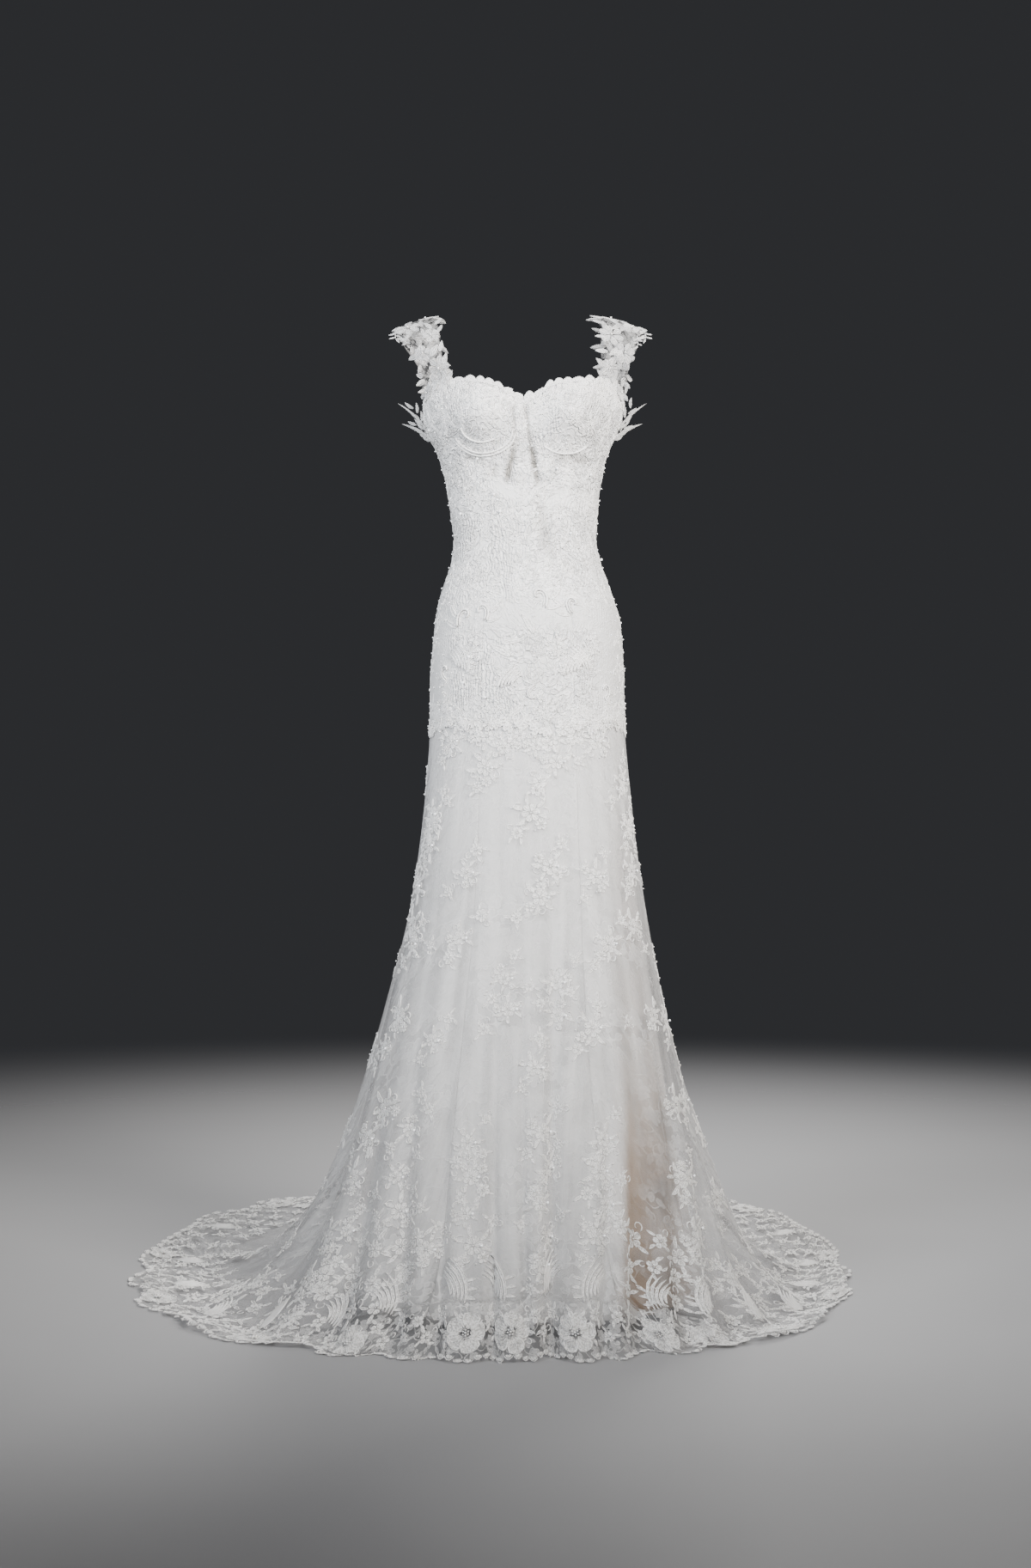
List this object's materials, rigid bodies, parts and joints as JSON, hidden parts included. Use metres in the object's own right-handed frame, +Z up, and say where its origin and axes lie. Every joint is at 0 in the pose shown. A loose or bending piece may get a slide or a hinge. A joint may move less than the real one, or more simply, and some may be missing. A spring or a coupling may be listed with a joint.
{
  "type": "trumpet wedding dress with lace straps and train, worn form",
  "caption": "Trumpet wedding dress in ivory lace: sweetheart bodice with cups, lace straps, sheer overskirt over a champagne lining, and a scalloped sweep train spread on the floor.",
  "frame": {"origin": "midway between the two straps, at the height where the wearer's shoulders carry them", "axes": "+Z up from the hem to the shoulders, the gown's front towards -Y, the wearer's left towards +X"},
  "size_m": [1.2135, 1.3794, 1.5365],
  "materials": {
    "bodice_lace": "ivory lace over a close lining, with corded and beaded motifs",
    "sheer_lace": "sheer ivory net with embroidered lace",
    "lining": "champagne satin, smooth, low sheen",
    "lace_trim": "dense ivory lace with corded edges"
  },
  "bodies": {
    "root": {"bodice_back_left": "bodice_lace", "bodice_back_right": "bodice_lace", "bodice_back_side_left": "bodice_lace", "bodice_back_side_right": "bodice_lace", "bodice_front_centre": "bodice_lace", "bodice_front_side_left": "bodice_lace", "bodice_front_side_right": "bodice_lace", "button_01": "bodice_lace", "button_02": "bodice_lace", "button_03": "bodice_lace", "button_04": "bodice_lace", "button_05": "bodice_lace", "button_06": "bodice_lace", "button_07": "bodice_lace", "button_08": "bodice_lace", "button_09": "bodice_lace", "button_10": "bodice_lace", "hem_lace_back_left": "lace_trim", "hem_lace_back_right": "lace_trim", "hem_lace_front": "lace_trim", "hem_lace_side_left": "lace_trim", "hem_lace_side_right": "lace_trim", "lining_back": "lining", "lining_front": "lining", "neck_edging_back_left": "lace_trim", "neck_edging_back_right": "lace_trim", "neck_edging_front_left": "lace_trim", "neck_edging_front_right": "lace_trim", "overskirt_back_left": "sheer_lace", "overskirt_back_right": "sheer_lace", "overskirt_front": "sheer_lace", "overskirt_side_left": "sheer_lace", "overskirt_side_right": "sheer_lace", "strap_left": "lace_trim", "strap_right": "lace_trim", "underarm_sprig_left_1": "lace_trim", "underarm_sprig_left_2": "lace_trim", "underarm_sprig_right_1": "lace_trim", "underarm_sprig_right_2": "lace_trim"}
  },
  "joints": []
}
